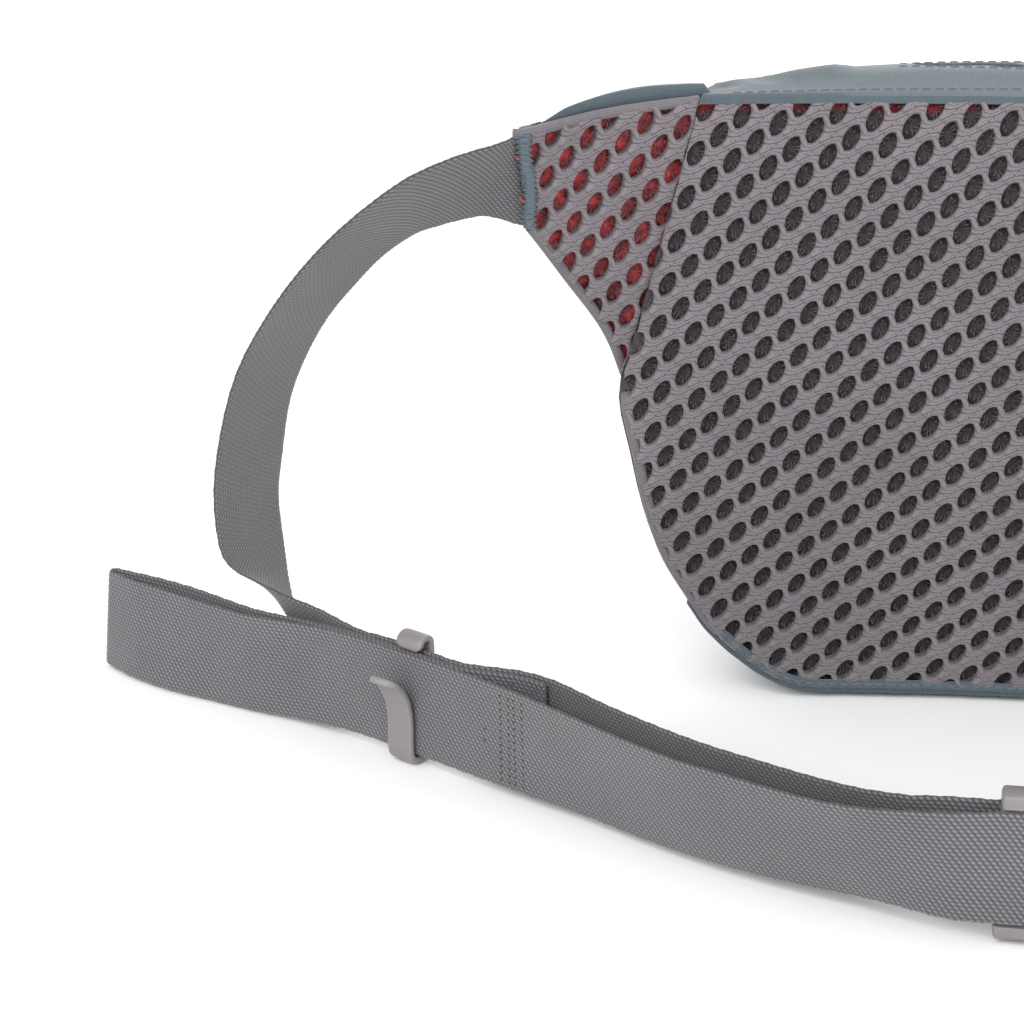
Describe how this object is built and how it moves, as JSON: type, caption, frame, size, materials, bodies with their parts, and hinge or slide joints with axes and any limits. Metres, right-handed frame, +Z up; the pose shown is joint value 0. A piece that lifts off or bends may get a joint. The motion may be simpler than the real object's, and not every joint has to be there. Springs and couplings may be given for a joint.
{
  "type": "lumbar support cushion",
  "caption": "Waist-worn lumbar support cushion: mesh-faced contoured back with wings, padded zip-closed body, webbing belt with side-release buckle and strap keeper.",
  "frame": {"origin": "middle of the flat bottom of the padded body, on the surface it stands on", "axes": "+X to the wearer's left along the cushion's width, -Y towards the wearer's back and the belt, +Z up"},
  "size_m": [0.4573, 0.2073, 0.1572],
  "materials": {
    "spacer_mesh": "matt knit",
    "foam_dark": "matt",
    "red_fabric": "matt",
    "shell_fabric": "matt woven",
    "foam_light": "matt",
    "zip_tape": "matt woven",
    "zip_plastic": "satin",
    "webbing": "matt woven",
    "keeper_plastic": "satin",
    "buckle_plastic": "satin",
    "thread": "satin"
  },
  "bodies": {
    "cushion": {"back_liner": "red_fabric", "belt_strap_left": "webbing", "belt_strap_right": "webbing", "belt_tail_left": "webbing", "bottom_binding": "shell_fabric", "buckle_female": "buckle_plastic", "buckle_male": "buckle_plastic", "foam_core": "foam_light", "lumbar_pad": "foam_dark", "mesh_panel": "spacer_mesh", "shell_rear": "shell_fabric", "shell_top": "shell_fabric", "wing_bartack_left": "thread", "wing_bartack_right": "thread", "wing_foam_left": "foam_dark", "wing_foam_right": "foam_dark", "wing_liner_left": "red_fabric", "wing_liner_right": "red_fabric", "wing_mesh_left": "spacer_mesh", "wing_mesh_right": "spacer_mesh", "wing_shell_left": "shell_fabric", "wing_shell_right": "shell_fabric", "zip_chain": "zip_plastic", "zip_stop_left": "zip_plastic", "zip_stop_right": "zip_plastic", "zip_tape_front": "zip_tape", "zip_tape_rear": "zip_tape"},
    "strap_keeper": {"strap_keeper": "keeper_plastic"},
    "zip_slider": {"zip_slider": "zip_plastic"},
    "zip_pull": {"zip_pull": "zip_plastic"},
    "latch_arm_top": {"latch_arm_top": "buckle_plastic"},
    "latch_arm_bottom": {"latch_arm_bottom": "buckle_plastic"}
  },
  "joints": [
    {"name": "zip_slide", "type": "slide", "parent": "cushion", "child": "zip_slider", "axis": [-1, 0, 0], "range_m": [0, 0.088]},
    {"name": "zip_pull_swing", "type": "hinge", "parent": "zip_slider", "child": "zip_pull", "pos_m": [0.044, -0.02, 0.1557], "axis": [0, -1, 0], "range_deg": [0, 165]},
    {"name": "keeper_slide", "type": "slide", "parent": "cushion", "child": "strap_keeper", "axis": [0.8595, -0.5112, 0], "range_m": [-0.01, 0.006]},
    {"name": "latch_top_squeeze", "type": "hinge", "parent": "cushion", "child": "latch_arm_top", "pos_m": [0.00125, -0.157, 0.02895], "axis": [0, 1, 0], "range_deg": [0, 18], "stiffness_Nm_per_rad": 0.3},
    {"name": "latch_bottom_squeeze", "type": "hinge", "parent": "cushion", "child": "latch_arm_bottom", "pos_m": [0.00125, -0.157, 0.00545], "axis": [0, -1, 0], "range_deg": [0, 18], "stiffness_Nm_per_rad": 0.3}
  ]
}
